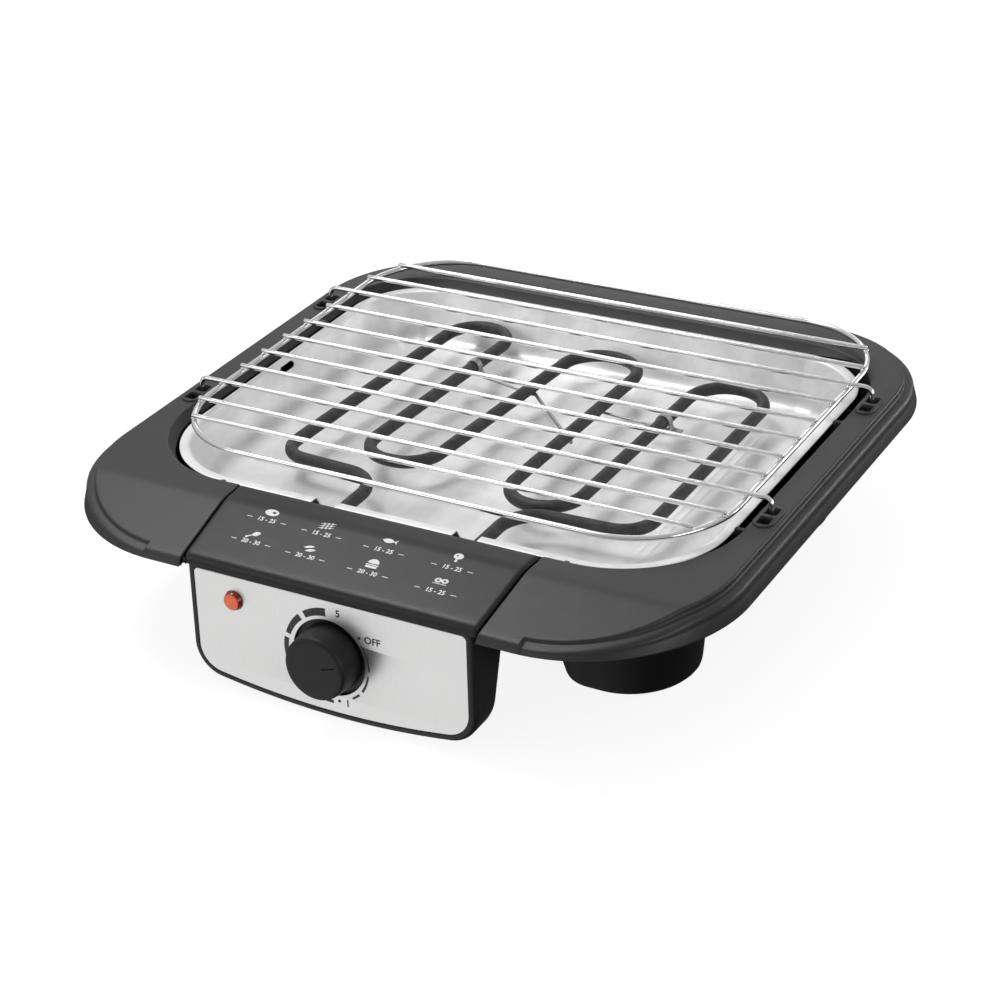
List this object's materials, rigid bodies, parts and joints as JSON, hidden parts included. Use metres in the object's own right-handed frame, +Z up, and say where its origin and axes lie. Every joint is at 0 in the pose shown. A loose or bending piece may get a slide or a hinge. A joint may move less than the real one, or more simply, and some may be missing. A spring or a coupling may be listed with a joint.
{
  "type": "electric tabletop grill",
  "caption": "Open electric tabletop grill: wire rack over a looped heating tube and pressed drip tray in a black moulded base, with a lift-out control unit.",
  "frame": {"origin": "on the standing surface, under the middle of the whole object's width and depth", "axes": "+X to the right of someone facing the control unit, +Y from the control unit to the rear, +Z up"},
  "size_m": [0.417, 0.417, 0.1015],
  "materials": {
    "base_plastic": "moulded charcoal black, fine satin grain",
    "pad_rubber": "soft black rubber",
    "tray_steel": "pressed sheet, fine grain with drawn creases in the corners",
    "rack_chrome": "bright plated wire with small weld spots",
    "element_sheath": "blackened sheath, dull, slightly mottled",
    "clip_steel": "heat-darkened steel",
    "ceramic": "unglazed ceramic",
    "terminal_steel": "nickel plated",
    "unit_plastic": "moulded charcoal black, fine satin grain",
    "face_steel": "upright brushed stainless sheet",
    "lamp_plastic": "clear orange-red lens",
    "neon_glass": "small glass lamp",
    "thermostat_body": "pale moulded body",
    "zinc_steel": "zinc plated",
    "knob_plastic": "black, fine satin grain",
    "block_plastic": "white moulded block",
    "wire_silicone": "silicone sleeve"
  },
  "bodies": {
    "base": {"base": "base_plastic", "foot_pads": "pad_rubber"},
    "tray": {"drip_tray": "tray_steel"},
    "unit": {"heating_element": "element_sheath", "element_clips": "clip_steel", "element_tie_rods": "clip_steel", "element_end_seals": "ceramic", "element_terminals": "terminal_steel", "unit_housing": "unit_plastic", "unit_top_cover": "unit_plastic", "face_plate": "face_steel", "lamp_lens": "lamp_plastic", "neon_lamp": "neon_glass", "thermostat": "thermostat_body", "thermostat_nut": "terminal_steel", "thermostat_bracket": "zinc_steel", "terminal_block": "block_plastic", "internal_wires": "wire_silicone", "heat_shield": "zinc_steel", "housing_screws": "zinc_steel", "cord_bushing": "pad_rubber"},
    "knob": {"knob": "knob_plastic", "thermostat_spindle": "zinc_steel"},
    "rack": {"rack_loop": "rack_chrome", "rack_cross_wires": "rack_chrome", "rack_hook_wires": "rack_chrome"}
  },
  "joints": [
    {"name": "tray_lift", "type": "slide", "parent": "base", "child": "tray", "axis": [0, 0, 1], "range_m": [0, 0.05]},
    {"name": "unit_lift", "type": "slide", "parent": "tray", "child": "unit", "axis": [0, 0, 1], "range_m": [0, 0.1]},
    {"name": "rack_lift", "type": "slide", "parent": "unit", "child": "rack", "axis": [0, 0, 1], "range_m": [0, 0.05]},
    {"name": "knob_turn", "type": "hinge", "parent": "unit", "child": "knob", "pos_m": [0, -0.19209, 0.039], "axis": [0, 0.9981, -0.061], "range_deg": [-18, 285]}
  ]
}
